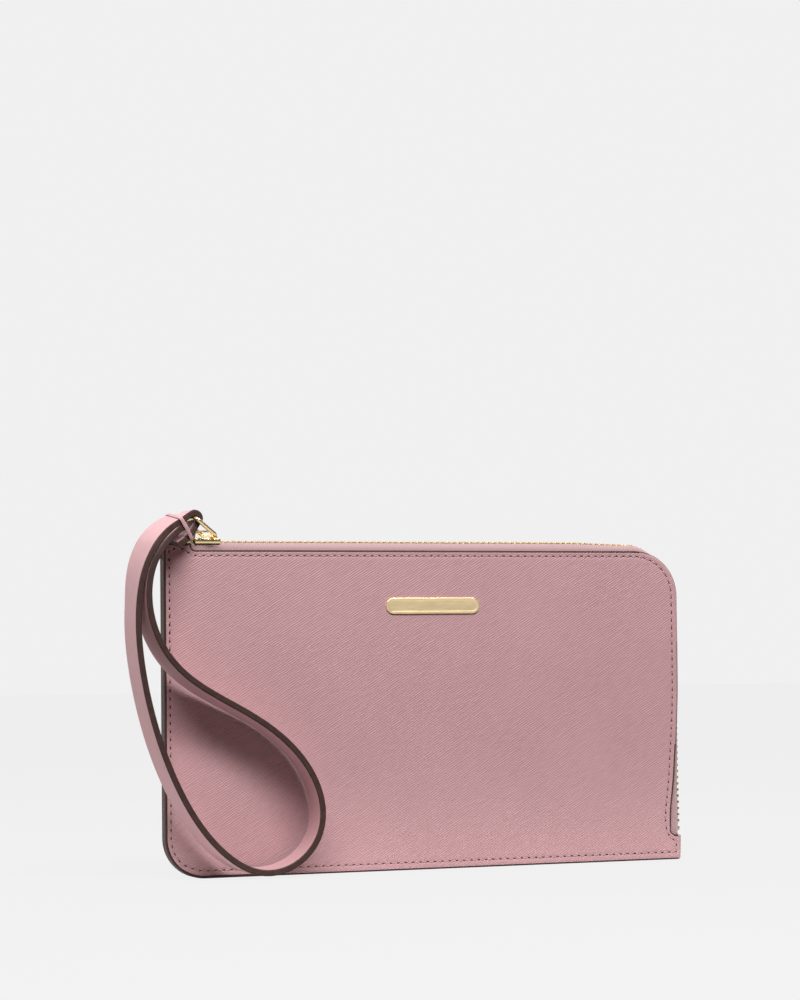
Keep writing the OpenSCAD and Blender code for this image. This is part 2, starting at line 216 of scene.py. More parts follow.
def bands(tree, vector, pitch, distortion, detail_scale=1.0):
    """Straight bands across Y, one every pitch."""
    made, out = texture(tree, "ShaderNodeTexWave", vector, "Fac", Scale=math.pi / 10 / pitch,
                        Distortion=distortion, Detail=2.0, Detail_Scale=detail_scale)
    made.wave_type, made.bands_direction, made.wave_profile = "BANDS", "Y", "SIN"
    return out


def bump(tree, shader, height, distance):
    made = add(tree, "ShaderNodeBump", Strength=1.0, Distance=distance)
    tree.links.new(height, made.inputs["Height"])
    tree.links.new(made.outputs["Normal"], shader.inputs["Normal"])


def saffiano(name, colour, pitch=0.8, depth=0.00013, contrast=0.17, rough=(0.60, 0.50)):
    """Leather pressed with fine slanting ridges, crossed by weaker ones."""
    mat, tree, shader = material(name, Specular_IOR_Level=0.32)
    along = grain_coordinates(tree, -32)
    long_patches = grain_coordinates(tree, -32, (0.22, 1.1, 1))
    across = grain_coordinates(tree, 40)
    plain = grain_coordinates(tree)
    ridge = bands(tree, along, pitch, 2.6, 0.16)
    cross = bands(tree, across, pitch * 1.6, 3.0, 0.3)
    _, patch = texture(tree, "ShaderNodeTexNoise", long_patches, "Fac", Scale=1.0, Detail=2.0)
    _, fine = texture(tree, "ShaderNodeTexNoise", plain, "Fac", Scale=3.2, Detail=3.0, Roughness=0.6)
    _, broad = texture(tree, "ShaderNodeTexNoise", plain, "Fac", Scale=0.035, Detail=2.0)
    ridge = math_node(tree, "MULTIPLY", ridge, between(tree, patch, -0.25, 1.5))
    height = weighed(tree, (ridge, 0.78), (cross, 0.07), (fine, 0.16))
    tone = weighed(tree, (height, 0.8), (broad, 0.2))
    shade(tree, shader, tone, colour, (0.08, 1 - contrast * 1.5), (0.45, 1), (0.9, 1 + contrast))
    tree.links.new(between(tree, height, *rough), shader.inputs["Roughness"])
    bump(tree, shader, height, depth)
    return mat


def edge_paint_and_shade(name, colour):
    """Thick edge paint, and the painted shade of needle holes: nearly even, with faint brush waves."""
    mat, tree, shader = material(name, Specular_IOR_Level=0.2)
    place = tree.nodes.new("ShaderNodeTexCoord").outputs["Object"]
    _, wave = texture(tree, "ShaderNodeTexNoise", place, "Fac", Scale=420.0, Detail=3.0)
    shade(tree, shader, wave, colour, (0.3, 0.8), (0.7, 1.25))
    tree.links.new(between(tree, wave, 0.5, 0.65), shader.inputs["Roughness"])
    bump(tree, shader, wave, 0.00005)
    return mat


def woven(name, colour, pitch, angle, depth, rough=0.8, contrast=0.14):
    """Twill cloth: slanting cords cut into short floats by the crossing yarn."""
    mat, tree, shader = material(name, Roughness=rough, Specular_IOR_Level=0.25,
                                 Sheen_Weight=0.25, Sheen_Roughness=0.5)
    cords = bands(tree, grain_coordinates(tree, angle), pitch, 0.5, 0.6)
    floats = bands(tree, grain_coordinates(tree, angle + 68), pitch * 1.15, 0.5, 0.6)
    _, fuzz = texture(tree, "ShaderNodeTexNoise", grain_coordinates(tree), "Fac", Scale=2.4, Detail=3.0)
    height = weighed(tree, (cords, 0.6), (floats, 0.25), (fuzz, 0.15))
    shade(tree, shader, height, colour, (0.1, 1 - contrast), (0.8, 1 + contrast))
    bump(tree, shader, height, depth)
    return mat


def metal(name, colour, rough=(0.2, 0.28), depth=0.000003):
    """Plated metal with faint polishing marks."""
    mat, tree, shader = material(name, Metallic=1.0)
    place = tree.nodes.new("ShaderNodeTexCoord").outputs["Object"]
    stretched = add(tree, "ShaderNodeMapping", Scale=(260, 900, 900))
    tree.links.new(place, stretched.inputs["Vector"])
    _, marks = texture(tree, "ShaderNodeTexNoise", stretched.outputs["Vector"], "Fac", Scale=1.0, Detail=3.0)
    shade(tree, shader, marks, colour, (0.25, 0.93), (0.75, 1.05))
    tree.links.new(between(tree, marks, *rough), shader.inputs["Roughness"])
    bump(tree, shader, marks, depth)
    return mat


def spun_thread(name, colour):
    """Waxed thread, twisted from plies."""
    mat, tree, shader = material(name, Roughness=0.6, Sheen_Weight=0.2)
    plies = bands(tree, grain_coordinates(tree, 35), 0.45, 0.3)
    shade(tree, shader, plies, colour, (0.1, 0.8), (0.8, 1.12))
    bump(tree, shader, plies, 0.00006)
    return mat


def card_board(name, colour):
    """Pressed grey board with a faint fibre."""
    mat, tree, shader = material(name, Roughness=0.85, Specular_IOR_Level=0.2)
    _, fibre = texture(tree, "ShaderNodeTexNoise", grain_coordinates(tree), "Fac", Scale=1.5, Detail=4.0)
    shade(tree, shader, fibre, colour, (0.3, 0.9), (0.7, 1.08))
    bump(tree, shader, fibre, 0.00004)
    return mat


PINK = (0.475, 0.272, 0.286)
M_LEATHER = saffiano("pink_saffiano", PINK)
M_STRAP = saffiano("strap_saffiano", (0.49, 0.285, 0.298), pitch=0.7, depth=0.00006, contrast=0.07,
                   rough=(0.62, 0.52))
M_EDGE = edge_paint_and_shade("brown_edge_paint", (0.043, 0.021, 0.018))
# the needle holes are dark discs of painted shade, standing for the shade inside each hole
M_HOLE_SHADE = edge_paint_and_shade("needle_hole_shade", (0.035, 0.010, 0.012))
M_THREAD = spun_thread("pink_thread", (0.44, 0.25, 0.262))
M_TAPE = woven("pink_zip_twill", (0.39, 0.245, 0.25), 0.8, 42, 0.00012, rough=0.7, contrast=0.16)
M_GOLD = metal("pale_gold", (0.91, 0.72, 0.40))
M_SATIN = metal("satin_gold", (0.91, 0.72, 0.43), (0.42, 0.48), 0.000002)
M_TOOTH = metal("gold_teeth", (0.62, 0.48, 0.27), rough=(0.34, 0.46))
M_LINING = woven("sand_lining_twill", (0.56, 0.45, 0.38), 0.55, 50, 0.00006)
M_POCKET = woven("sand_pocket_twill", (0.60, 0.49, 0.42), 0.55, 50, 0.00006)
M_BOARD = card_board("grey_board", (0.42, 0.36, 0.29))


# ---------------------------------------------------------------- mesh helpers
def add_object(name, data):
    made = bpy.data.objects.new(name, data)
    bpy.context.scene.collection.objects.link(made)
    return made


def make(name, points, faces, mats, face_mats=None, grain=None, angle=40):
    """A mesh object from points in millimetres; edges sharper than the angle stay sharp."""
    mesh = bpy.data.meshes.new(name)
    mesh.from_pydata([tuple(c * MM for c in p) for p in points], [], faces)
    for m in mats:
        mesh.materials.append(m)
    if face_mats is not None:
        mesh.polygons.foreach_set("material_index", face_mats)
    mesh.polygons.foreach_set("use_smooth", [True] * len(mesh.polygons))
    place = mesh.attributes.new("grain", "FLOAT_VECTOR", "POINT")
    values = grain if grain is not None else [(p[0], p[2], p[1]) for p in points]
    place.data.foreach_set("vector", [c for v in values for c in v])
    mesh.validate()
    mesh.update()
    mesh.set_sharp_from_angle(angle=math.radians(angle))
    return add_object(name, mesh)


def face_out(obj):
    """Turns all faces outward."""
    bm = bmesh.new()
    bm.from_mesh(obj.data)
    bmesh.ops.recalc_face_normals(bm, faces=bm.faces)
    bm.to_mesh(obj.data)
    bm.free()
    return obj


def tube(rows, n, closed=False, first=0):
    """Faces round rows of n points each, from the first index on; capped unless closed."""
    faces = []
    for i in range(rows if closed else rows - 1):
        near, far = first + i * n, first + (i + 1) % rows * n
        for k in range(n):
            faces.append([near + k, near + (k + 1) % n, far + (k + 1) % n, far + k])
    if not closed:
        faces += [[first + k for k in range(n - 1, -1, -1)], [first + (rows - 1) * n + k for k in range(n)]]
    return faces


def cos_sin(a):
    """Cosine and sine of an angle in degrees."""
    return math.cos(math.radians(a)), math.sin(math.radians(a))


def arc(cx, cz, r, start, end, step=1.0):
    """Points along an arc, both ends included."""
    n = max(2, int(math.ceil(abs(math.radians(end - start)) * max(r, 0.3) / step)))
    turns = [cos_sin(start + (end - start) * k / n) for k in range(n + 1)]
    return [(cx + r * c, cz + r * s) for c, s in turns]


def corner(x, z, sx, sz, radius, margin, start):
    """A convex corner of an outline, rounded where the margin is smaller than its radius."""
    if margin < radius - 0.05:
        return arc(x - sx * radius, z - sz * radius, radius - margin, start, start + 90, 0.25)
    return [(x - sx * margin, z - sz * margin)]


def fill_in(loop, step):
    """Adds points to a closed loop's long straight runs, at the same places for every margin."""
    out = []
    for k, a in enumerate(loop):
        b = loop[(k + 1) % len(loop)]
        out.append(a)
        axis = 0 if abs(b[0] - a[0]) > abs(b[1] - a[1]) else 1
        low, high = sorted((a[axis], b[axis]))
        marks = [step * i for i in range(int(math.ceil(low / step)), int(math.floor(high / step)) + 1)
                 if low + 0.3 * step < step * i < high - 0.3 * step]
        for m in marks if b[axis] > a[axis] else reversed(marks):
            t = (m - a[axis]) / (b[axis] - a[axis])
            out.append((a[0] + (b[0] - a[0]) * t, a[1] + (b[1] - a[1]) * t))
    return out


def side_swell(x, z):
    """How far the free side edge has spread: drawn in just above the tab, swollen higher up."""
    drawn_in = smooth01((z - SIDE_TAB_H) / 1.5) * (1 - smooth01((z - 17) / 16))
    return (SIDE_SWELL * smooth01((z - 14) / 55) - SIDE_DRAW * drawn_in) * smooth01((x - 68) / 30)


def panel_ring(m):
    """The leather panel's outline pulled in by m; the stitch line lies higher along the bottom."""
    r = NOTCH_R + m
    pts = arc(SEWN_R - HALF_W, SEWN_R, SEWN_R - m, 180, 270)
    pts += corner(HALF_W, 0, 1, -1, 0.9, m, -90)
    pts += corner(HALF_W, SIDE_TAB_H, 1, 1, 0.45, m, 0)
    side = (PANEL_RIGHT + NOTCH_R, SIDE_TAB_H + NOTCH_R)
    reach = min(0.0, (HALF_W - m - side[0]) / r)
    pts += arc(*side, r, -90 + math.degrees(math.asin(reach)), -180, 0.6)
    pts += arc(CORNER_X, CORNER_Z, ZIP_R - m, 0, 90)
    top = (NOTCH_X + NOTCH_R, PANEL_TOP + NOTCH_R)
    lift = TAB_TOP - m - top[1]
    pts += arc(*top, r, -90, -180 + math.degrees(math.asin(max(0.0, -lift / r))), 0.6)
    if lift > 0.3:
        pts += corner(NOTCH_X, TAB_TOP, 1, 1, 0.4, m, 0) if m < 0.3 else [(NOTCH_X - m, TAB_TOP - m)]
    pts += corner(-HALF_W, TAB_TOP, -1, 1, 0.8, m, 90)
    pts = fill_in(pts, 1.5)
    raised = SEAM_RISE * min(1.0, m / 1.6)
    inward = SEAM_INWARD * min(1.0, m / STITCH_IN)
    return [(x + side_swell(x, z) - inward * smooth01((x - 80) / 15) * smooth01((z - 12) / 4),
             z + raised * (1 - smooth01((z - m) / 5))) for x, z in pts]


def sheet_ring(left, right, low, high, radii):
    """Outline of an inner sheet; radii are those of its bottom left, bottom right, top right and top left."""
    def ring(m):
        pts = arc(left + radii[0], low + radii[0], radii[0] - m, 180, 270)
        pts += arc(right - radii[1], low + radii[1], radii[1] - m, -90, 0)
        pts += arc(right - radii[2], high - radii[2], radii[2] - m, 0, 90)
        pts += arc(left + radii[3], high - radii[3], radii[3] - m, 90, 180)
        return fill_in(pts, 3.0)
    return ring


def inside(loop, xs, zs):
    """Which grid points lie inside a closed loop, well clear of it."""
    hit = np.zeros(xs.shape, bool)
    near = np.full(xs.shape, 1e9)
    a = np.array(loop)
    b = np.roll(a, -1, axis=0)
    for (ax, az), (bx, bz) in zip(a, b):
        if az != bz:
            cross = (zs < az) != (zs < bz)
            hit ^= cross & (xs < (bx - ax) * (zs - az) / (bz - az) + ax)
        dx, dz = bx - ax, bz - az
        t = np.clip(((xs - ax) * dx + (zs - az) * dz) / max(dx * dx + dz * dz, 1e-9), 0, 1)
        near = np.minimum(near, np.hypot(xs - ax - t * dx, zs - az - t * dz))
    return hit & (near > 0.9)


def face_of(ring, profile, step):
    """Triangles of one face: rings at the profile's margins, then a plain grid inside the last one."""
    pts, edges, levels = [], [], []
    for level, (m, _) in enumerate(profile):
        loop = ring(m)
        first = len(pts)
        pts += loop
        levels += [level] * len(loop)
        edges += [(first + k, first + (k + 1) % len(loop)) for k in range(len(loop))]
    count = len(ring(profile[0][0]))
    a = np.array(loop)
    xs, zs = np.meshgrid(np.arange(a[:, 0].min() + step / 2, a[:, 0].max(), step),
                         np.arange(a[:, 1].min() + step / 2, a[:, 1].max(), step))
    ok = inside(loop, xs, zs)
    grid = list(zip(xs[ok], zs[ok]))
    inner = len(profile) - 1
    levels += [inner] * len(grid)
    pts += grid
    out, _, tris, source, _, _ = delaunay_2d_cdt([Vector(p) for p in pts], edges, [list(range(count))],
                                                 1, 1e-6)
    level = [levels[s[0]] if s else inner for s in source]
    place = {i: k for k, s in enumerate(source) for i in s}
    rim = [place[i] for i in range(count)]
    return [(p.x, p.y) for p in out], [list(t) for t in tris], level, rim


INNER_PROFILE = [(0, 0.0), (0.6, 0.0)]
SEAL_BOW = 0.8
FACES = {}


def paint_cut_back(x, z, side):
    """How many rings short the edge paint stops: up the right side, at its end, and at the front's foot."""
    if x > HALF_W - 1.2:
        return 2
    up_right = (smooth01((z - 38) / 14) + smooth01((z - 78) / 14)) * smooth01((x - CORNER_X) / 12)
    return max(round(up_right), int(z < 3 and x > -60 and side < 0))


def shell(name, ring, near, far, profile, side, mats, step=4.0, painted=0, shared=None, seal=0.0):
    """A bowed sheet between two distances from the middle plane; side is -1 for the front and 1 for the back.

    mats are those of the outer face, the rim and the inner face. The edge paint reaches the ring numbered
    painted, less up the right side, at its end and at the front's foot. seal brings the inner face in where
    the halves are sewn.
    """
    key = shared or name
    if key not in FACES:
        FACES[key] = face_of(ring, profile, step), face_of(ring, INNER_PROFILE, max(step, 6.0))
    (outer, tris, level, rim), (inner, back_tris, _, back_rim) = FACES[key]
    pts, faces, kinds = [], [], []
    for (x, z), k in zip(outer, level):
        pts.append((x, side * (far + float(bow_at(x, z)) + profile[k][1]), z))
    base = len(pts)
    for x, z in inner:
        bow = float(bow_at(x, z))
        pts.append((x, side * (near + bow - seal * (1 - smooth01(bow / SEAL_BOW))), z))
    for t in tris:
        faces.append(t)
        x, z = (sum(outer[v][n] for v in t) / 3 for n in (0, 1))
        # the edge paint's lip is narrower up the right side, at the tab's end and along the front's foot
        reach = painted - paint_cut_back(x, z, side)
        kinds.append(int(all(level[v] <= reach for v in t)))
    for t in back_tris:
        faces.append([base + v for v in t])
        kinds.append(2)
    n = len(rim)
    assert n == len(back_rim), name
    for k in range(n):
        faces.append([rim[k], rim[(k + 1) % n], base + back_rim[(k + 1) % n], base + back_rim[k]])
        kinds.append(1)
    sign = 1 if side < 0 else -1
    return face_out(make(name, pts, faces, mats, kinds, [(sign * p[0], p[2], 0.0) for p in pts]))


def even_steps(loop, pitch):
    """For a closed loop: the point at a given length, the even steps' starts, and their pitch."""
    a = np.array(loop + [loop[0]], float)
    run = np.concatenate([[0], np.cumsum(np.hypot(*np.diff(a, axis=0).T))])
    n = max(1, round(run[-1] / pitch))

    def point(s):
        s = s % run[-1]
        return float(np.interp(s, run, a[:, 0])), float(np.interp(s, run, a[:, 1]))

    return point, np.arange(n) * run[-1] / n, run[-1] / n


# one stitch: (share of the pitch, share of the thread's radius, height in units of THREAD_PROUD)
STITCH = [(0.15, 0.45, -2.6), (0.20, 0.8, -1.0), (0.31, 1.0, 0.4), (0.5, 1.0, 0.9),
          (0.69, 1.0, 0.4), (0.80, 0.8, -1.0), (0.85, 0.45, -2.6)]
OCTAGON = [2 * math.pi * k / 8 for k in range(8)]


def seam_face(x, z):
    """The leather's face where the thread has pulled it in."""
    return EDGE_HALF + float(bow_at(x, z)) - THREAD_SUNK


def stitch_row(name, path, side):
    """Separate stitches round a loop on a panel's face, with a needle hole between each two, drawn as a dark
    disc of painted shade.
    """
    point, starts, pitch = even_steps(path, STITCH_PITCH)
    pts, faces, grain = [], [], []
    for start in starts:
        first = len(pts)
        for t, wide, high in STITCH:
            s = start + t * pitch
            x, z = point(s)
            ax, az = point(s - 0.3)
            bx, bz = point(s + 0.3)
            size = math.hypot(bx - ax, bz - az) or 1.0
            nx, nz = -(bz - az) / size, (bx - ax) / size
            lift = seam_face(x, z) + high * THREAD_PROUD
            for a in OCTAGON:
                level, depth = THREAD_R * wide * math.cos(a), THREAD_R * 0.8 * wide * math.sin(a)
                pts.append((x + nx * level, side * (lift + depth), z + nz * level))
                grain.append((s, THREAD_R * a, 0.0))
        faces += tube(len(STITCH), 8, first=first)
    kinds = [0] * len(faces)
    # needle holes: dark discs of painted shade, a hair proud of the seam, standing for the shade inside each
    # hole
    for s in starts:
        x, z = point(s)
        first = len(pts)
        lift = seam_face(x, z)
        for a in OCTAGON:
            pts.append((x + HOLE_ALONG * math.cos(a), side * (lift + 0.03), z + HOLE_UP * math.sin(a)))
            grain.append((x, z, 0.0))
        pts += [(x, side * (lift + 0.06), z), (x, side * (lift - 0.25), z)]
        grain += [(x, z, 0.0)] * 2
        for k in range(8):
            this, following = first + k, first + (k + 1) % 8
            faces += [[this, following, first + 8], [following, this, first + 9]]
            kinds += [1, 1]
    return face_out(make(name, pts, faces, [M_THREAD, M_HOLE_SHADE], kinds, grain))


def sweep(name, stations, section, mat, closed=False, angle=40):
    """A closed section carried through stations; each station is (origin, across, up)."""
    pts = [tuple(o + a * p[0] + u * p[1]) for o, a, u in stations for p in section]
    return face_out(make(name, pts, tube(len(stations), len(section), closed), [mat], angle=angle))


def rounded_box(name, low, high, radius, mat, taper=1):
    """A block with rounded edges; taper scales its Y at the high X end."""
    bm = bmesh.new()
    middle = (low[1] + high[1]) / 2
    corners = [(x, middle + (y - middle) * (taper if x == high[0] else 1), z)
               for x in (low[0], high[0]) for y in (low[1], high[1]) for z in (low[2], high[2])]
    v = [bm.verts.new([c * MM for c in p]) for p in corners]
    for f in ((0, 1, 3, 2), (4, 6, 7, 5), (0, 4, 5, 1), (2, 3, 7, 6), (0, 2, 6, 4), (1, 5, 7, 3)):
        bm.faces.new([v[i] for i in f])
    bmesh.ops.recalc_face_normals(bm, faces=bm.faces)
    bmesh.ops.bevel(bm, geom=bm.edges[:], offset=radius * MM, segments=3, profile=0.5,
                    affect="EDGES", clamp_overlap=True)
    mesh = bpy.data.meshes.new(name)
    bm.to_mesh(mesh)
    bm.free()
    mesh.materials.append(mat)
    mesh.polygons.foreach_set("use_smooth", [True] * len(mesh.polygons))
    mesh.set_sharp_from_angle(angle=math.radians(50))
    return add_object(name, mesh)


def joined(name, objs):
    """One new object from several of the same material, which it replaces."""
    bm = bmesh.new()
    for o in objs:
        bm.from_mesh(o.data)
    mesh = bpy.data.meshes.new(name)
    bm.to_mesh(mesh)
    bm.free()
    mesh.materials.append(objs[0].data.materials[0])
    made = add_object(name, mesh)
    for o in objs:
        bpy.data.objects.remove(o)
    return made


def dress(obj, node):
    """Hides the CAD node that a piece stands in for, and returns the piece."""
    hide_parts(node)
    return obj


# ---------------------------------------------------------------- leather halves
# profiles: (margin from the outline, height over the face)
EDGE_PROFILE = [(0.0, -0.5), (0.15, -0.24), (0.4, -0.09), (0.7, -0.02), (1.0, 0.0), (1.35, 0.0),
                (1.65, -0.04), (1.9, -0.12), (2.1, -0.15), (2.3, -0.12), (2.55, -0.04), (2.9, 0.0),
                (4.0, 0.0)]
THIN_PROFILE = [(0.0, -0.05), (0.5, 0.0)]
HEM_PROFILE = [(0.0, -0.10), (0.25, 0.0), (2.4, 0.0), (2.7, -0.08), (3.4, -0.08)]


BOARD_BACK, LINING_BACK = 12.5, 3
INNER_RADII = (SEWN_R, 1.0, 10, 1.0)
board_ring = sheet_ring(-HALF_W, PANEL_RIGHT - BOARD_BACK, 0, PANEL_TOP - BOARD_BACK, INNER_RADII)
lining_ring = sheet_ring(-HALF_W, PANEL_RIGHT - LINING_BACK, 0, PANEL_TOP - LINING_BACK, INNER_RADII)
half_pieces = {"front": [], "back": []}
for half, side in (("front", -1), ("back", 1)):
    panel = shell(f"{half}_leather", panel_ring, LEATHER_IN, EDGE_HALF, EDGE_PROFILE, side,
                  [M_LEATHER, M_EDGE, M_BOARD], painted=3, shared="leather")
    dress(panel, f"{half}_panel")
    board = shell(f"{half}_stiffener", board_ring, BOARD_IN, LEATHER_IN, THIN_PROFILE, side,
                  [M_BOARD, M_EDGE, M_BOARD], step=8.0, shared="board")
    dress(board, f"{half}_board")
    lining = shell(f"{half}_lining_cloth", lining_ring, LINING_IN, BOARD_IN, THIN_PROFILE, side,
                   [M_LINING, M_EDGE, M_LINING], step=8.0, shared="lining", seal=LINING_IN - 0.02)
    dress(lining, f"{half}_lining")
    thread = stitch_row(f"{half}_stitches", panel_ring(STITCH_IN), side)
    dress(thread, f"{half}_stitching")
    half_pieces[half] += [panel, board, lining, thread]


# ---------------------------------------------------------------- pockets
LEAF_R, LEAF_GAP = 0.8, 0.04
POCKET_W, POCKET_LOW, POCKET_HIGH = 168, 32, 84
SLOT_W, SLOT_LOW, SLOT_HIGH, SLOT_STEP = 87, 34, 94, 12
SLOT_LEFTS = (-88, 1)


def leaf(name, level, left, right, low, high, side, node):
    """A pocket leaf of cloth inside a half; level counts the leaves from the lining inwards."""
    ring = sheet_ring(left, right, low, high, [LEAF_R] * 4)
    near, far = LINING_IN - (level + 1) * LEAF, LINING_IN - level * LEAF
    cloth = shell(name, ring, near + LEAF_GAP, far - LEAF_GAP, HEM_PROFILE, side, [M_POCKET] * 3, step=8.0)
    dress(cloth, node)
    return cloth


half_pieces["front"].append(leaf("slip_pocket_cloth", 0, -POCKET_W / 2, POCKET_W / 2, POCKET_LOW, POCKET_HIGH,
                                 -1, "slip_pocket"))
for column, left in enumerate(SLOT_LEFTS):
    for tier in range(3):
        number = 3 * column + tier + 1
        half_pieces["back"].append(leaf(f"card_slot_cloth_{number}", tier, left, left + SLOT_W, SLOT_LOW,
                                        SLOT_HIGH - SLOT_STEP * tier, 1, f"card_slot_{number}"))


# ---------------------------------------------------------------- zip
TAPE_STEP = 1.2
TAPE_UNDER, TUCKED_OUT = 12, 3.3


def corner_place(a):
    """The zip edge's point in the round corner for an outward direction's angle, and that angle."""
    c, s = cos_sin(a)
    return CORNER_X + ZIP_R * c, CORNER_Z + ZIP_R * s, a


def zip_path():
    """Along the panel's zip edge, down to behind the right tab: (x, z, angle of the outward direction)."""
    path = []
    x = NOTCH_X + 0.45
    while x < CORNER_X - 0.3:
        path.append((x, PANEL_TOP, 90.0))
        x += TAPE_STEP
    n = int(math.radians(90) * ZIP_R / 0.8)
    path += [corner_place(90 - 90 * k / n) for k in range(n + 1)]
    z = CORNER_Z - TAPE_STEP
    while z > SIDE_TAB_H + 0.5:
        path.append((PANEL_RIGHT, z, 0.0))
        z -= TAPE_STEP
    return path + [(PANEL_RIGHT, z, 0.0) for z in (SIDE_TAB_H + 0.15, SIDE_TAB_H - 0.2, 5.0, 0.9)]


def zip_rise(x, z):
    """Share of its full height that the closed zip stands out: least behind the swollen corner."""
    if x < CORNER_X:
        return 1 - 0.2 * smooth01((x - CORNER_X + 28) / 28)
    if z > CORNER_Z:
        return 0.8 - 0.55 * smooth01(math.degrees(math.atan2(x - CORNER_X, z - CORNER_Z)) / 55)
    return 0.93 + 0.07 * (1 - smooth01((z - 14) / 30)) - 0.68 * smooth01((z - 76) / 27)


def tape_section(b, rise, tucked):
    """(outward, depth) round the tape: from under the leather to the bead by the teeth, and back."""
    root = LEATHER_IN + b - 0.02
    if tucked:
        wide = TUCKED_OUT + TAPE_UNDER
        return ([(wide * k / 9 - TAPE_UNDER, root) for k in range(10)]
                + [(TUCKED_OUT - wide * k / 6, b + 0.05) for k in range(7)])
    outer = [(-TAPE_UNDER, root), (-6, root), (-0.6, root), (0.5, root - 0.04 * b),
             (1.1, root * 0.84 + 0.16 * 3.1), (1.8, root * 0.5 + 0.5 * 3.15),
             (2.35, root * 0.18 + 0.82 * 3.1), (2.68, 2.98), (2.82, 2.8), (2.84, 2.55)]
    inner = [(2.72, 2.3), (2.5, 2.5), (1.9, root * 0.3 + 0.7 * 2.6 - 0.2),
             (1.2, root * 0.7 + 0.3 * 2.6 - 0.35), (0.4, root - 0.45), (-0.8, root - 0.48),
             (-TAPE_UNDER, root - 0.48)]
    return [(o if o < 0 else o * rise, d) for o, d in outer + inner]


def build_tape(name, side):
    """One tape, from the left notch to behind the right tab."""
    path = zip_path()
    pts, grain = [], []
    run = 0.0
    for i, (x, z, a) in enumerate(path):
        if i:
            run += math.hypot(x - path[i - 1][0], z - path[i - 1][1])
        ca, sa = cos_sin(a)
        rise = 0.85 + 0.15 * smooth01((x + 94.6) / 2.6) if x < SLIDER_HIGH.x else zip_rise(x, z)
        rise *= 1 - 0.2 * smooth01((x - CORNER_X) / 15) * smooth01((45 - z) / 20)
        around = 0.0
        section = tape_section(float(bow_at(x, z)), rise, z < SIDE_TAB_H)
        for k, (o, d) in enumerate(section):
            if k:
                around += math.hypot(o - section[k - 1][0], d - section[k - 1][1])
            pts.append((x + o * ca, side * d, z + o * sa))
            grain.append((run, around, 0.0))
    return face_out(make(name, pts, tube(len(path), len(section)), [M_TAPE], grain=grain, angle=60))


# a tooth's sections: (y towards the other row, share of its length, share of its height)
TOOTH = [(-2.72, 0.62, 0.3), (-2.6, 0.9, 0.4), (-2.3, 1.0, 0.5), (-1.5, 1.0, 0.96), (-0.85, 0.9, 1.0),
         (0.2, 0.88, 1.0), (0.55, 0.76, 0.94), (0.72, 0.45, 0.7)]
# a tooth's full section: (along the zip, outward)
TOOTH_SHAPE = [(-0.56, 2.15), (-0.58, 3.1), (-0.46, 3.5), (-0.2, 3.68), (0.2, 3.68), (0.46, 3.5), (0.58, 3.1),
               (0.56, 2.15)]


TOOTH_MID, CORNER_TEETH_R, LOWEST_TOOTH = 2.9, ZIP_R + 2.3, SIDE_TAB_H + 3.8


def tooth_places(shift, first_x, last_x):
    """Where teeth stand: (x, z, angle of the outward direction); last_x is None for the whole zip."""
    places = []
    s = shift
    while CHAIN_START + s < CORNER_X:
        x = CHAIN_START + s
        if x >= first_x and (last_x is None or x < last_x):
            places.append((x, PANEL_TOP, 90.0))
        s += PITCH
    if last_x is None:
        n = int(CORNER_TEETH_R * math.pi / 2 / PITCH)
        places += [corner_place(90 - (k + 0.5 + shift / PITCH) * 90 / (n + 0.5)) for k in range(n)]
        z = CORNER_Z - shift - PITCH / 2
        while z > LOWEST_TOOTH:
            places.append((PANEL_RIGHT, z, 0.0))
            z -= PITCH
    return places


def build_teeth(name, side, shift, first_x, last_x=None):
    """One row of teeth; each stands outward from the panel's edge and reaches past the middle."""
    pts, faces = [], []
    for x, z, a in tooth_places(shift, first_x, last_x):
        ca, sa = cos_sin(a)
        first = len(pts)
        sunk = RECESS * (1 - zip_rise(x, z))
        for y, wide, tall in TOOTH:
            for s, o in TOOTH_SHAPE:
                out = TOOTH_MID + (o - TOOTH_MID) * tall - sunk
                pts.append((x + out * ca + s * wide * sa, -side * y, z + out * sa - s * wide * ca))
        faces += tube(len(TOOTH), len(TOOTH_SHAPE), first=first)
    return face_out(make(name, pts, faces, [M_TOOTH], angle=35))


UNDER_SLIDER = SLIDER_HIGH.x + 1
FRONT_SHIFT = 0.2
BACK_SHIFT = FRONT_SHIFT + PITCH / 2
tape_front = dress(build_tape("front_zip_tape", -1), "zip_tape_front")
tape_back = dress(build_tape("back_zip_tape", 1), "zip_tape_back")
teeth_front = dress(build_teeth("front_zip_teeth", -1, FRONT_SHIFT, -HALF_W), "zip_teeth_front")
teeth_back = dress(build_teeth("back_zip_teeth", 1, BACK_SHIFT, UNDER_SLIDER), "zip_teeth_back")
teeth_end = dress(build_teeth("parked_zip_teeth", 1, BACK_SHIFT, -HALF_W, UNDER_SLIDER), "zip_end_teeth")
half_pieces["front"] += [tape_front, teeth_front, teeth_end]
half_pieces["back"] += [tape_back, teeth_back]
for node, half in (("zip_top_stop_front", "front"), ("zip_top_stop_back", "back"),
                   ("zip_bottom_stop", "front")):
    clip = rounded_box(node + "_clip", *box_mm(node), 0.25, M_TOOTH)
    half_pieces[half].append(dress(clip, node))

# ---------------------------------------------------------------- nameplate
PLATE_MID, PLATE_HALF = (PLATE_LOW + PLATE_HIGH) / 2, (PLATE_HIGH - PLATE_LOW) / 2
PLATE_Y = -(EDGE_HALF + BOW)
PILL_STEPS = 24
# the plate's section from its back to its face: (margin, Y over the leather)
PLATE_ROWS = [(0.12, 0.02), (0.0, 0.0), (0.0, -0.42), (0.05, -0.53), (0.16, -0.59), (0.32, -0.6), (0.8, -0.6),
              (1.0, -0.52), (1.15, -0.5), (2.2, -0.5)]


